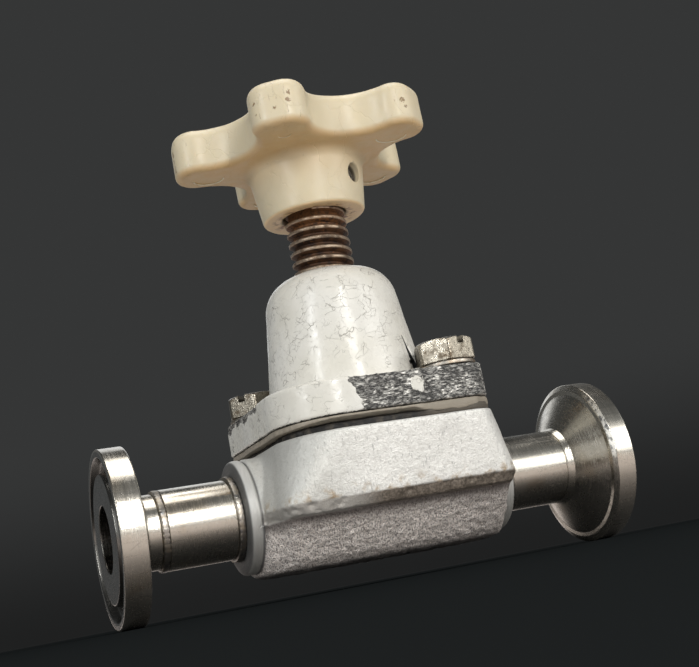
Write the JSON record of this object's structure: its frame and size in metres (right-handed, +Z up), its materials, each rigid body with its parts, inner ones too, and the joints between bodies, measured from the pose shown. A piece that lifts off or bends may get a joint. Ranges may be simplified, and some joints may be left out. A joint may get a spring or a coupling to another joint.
{
  "type": "diaphragm valve",
  "caption": "Weir diaphragm valve with clamp ferrules on tube stubs, a forged body, a painted bell bonnet and a lobed handwheel on a rising threaded spindle.",
  "frame": {"origin": "crossing of the flow axis and the spindle axis, at the middle of the body", "axes": "+X along the flow from inlet to outlet, +Z up the spindle to the handwheel, +Y to the side away from the front screw"},
  "size_m": [0.078, 0.039, 0.0723],
  "materials": {
    "forging": "shot-blasted stainless forging",
    "stainless": "brushed",
    "weld": "as welded",
    "rubber": "matte",
    "backing": "matte",
    "bonnet_paint": "chipped white paint on cast iron",
    "bronze": "turned",
    "screw_steel": "lightly rusted",
    "spindle_steel": "rusted thread",
    "ivory_plastic": "aged, slightly glossy",
    "dark_steel": "plain"
  },
  "bodies": {
    "valve": {"valve_body": "forging", "inlet_ferrule": "stainless", "outlet_ferrule": "stainless", "inlet_tube": "stainless", "outlet_tube": "stainless", "ferrule_weld": "weld", "inlet_collar_weld": "weld", "outlet_collar_weld": "weld", "diaphragm": "rubber", "backing_sheet": "backing", "bonnet": "bonnet_paint", "bonnet_bush": "bronze", "bonnet_screws": "screw_steel", "screw_washers": "screw_steel"},
    "compressor": {"compressor": "bronze", "retaining_pins": "dark_steel", "guide_pins": "dark_steel", "thrust_washer": "bronze", "diaphragm_stud": "dark_steel"},
    "spindle": {"spindle": "spindle_steel", "stop_collar": "dark_steel", "stop_collar_pin": "dark_steel", "handwheel": "ivory_plastic", "handwheel_insert": "bronze", "handwheel_cap": "ivory_plastic", "set_screw": "dark_steel"}
  },
  "joints": [
    {"name": "stem_lift", "type": "slide", "parent": "valve", "child": "compressor", "axis": [0, 0, 1], "range_m": [-0.00476, 0], "deforming": ["diaphragm"]},
    {"name": "handwheel_turn", "type": "hinge", "parent": "compressor", "child": "spindle", "pos_m": [0, 0, 0.05], "axis": [0, 0, 1], "range_deg": [-1080, 0]}
  ],
  "couplings": [
    {"joint": "handwheel_turn", "follows": "stem_lift", "rad_per_m": 3957.9}
  ]
}
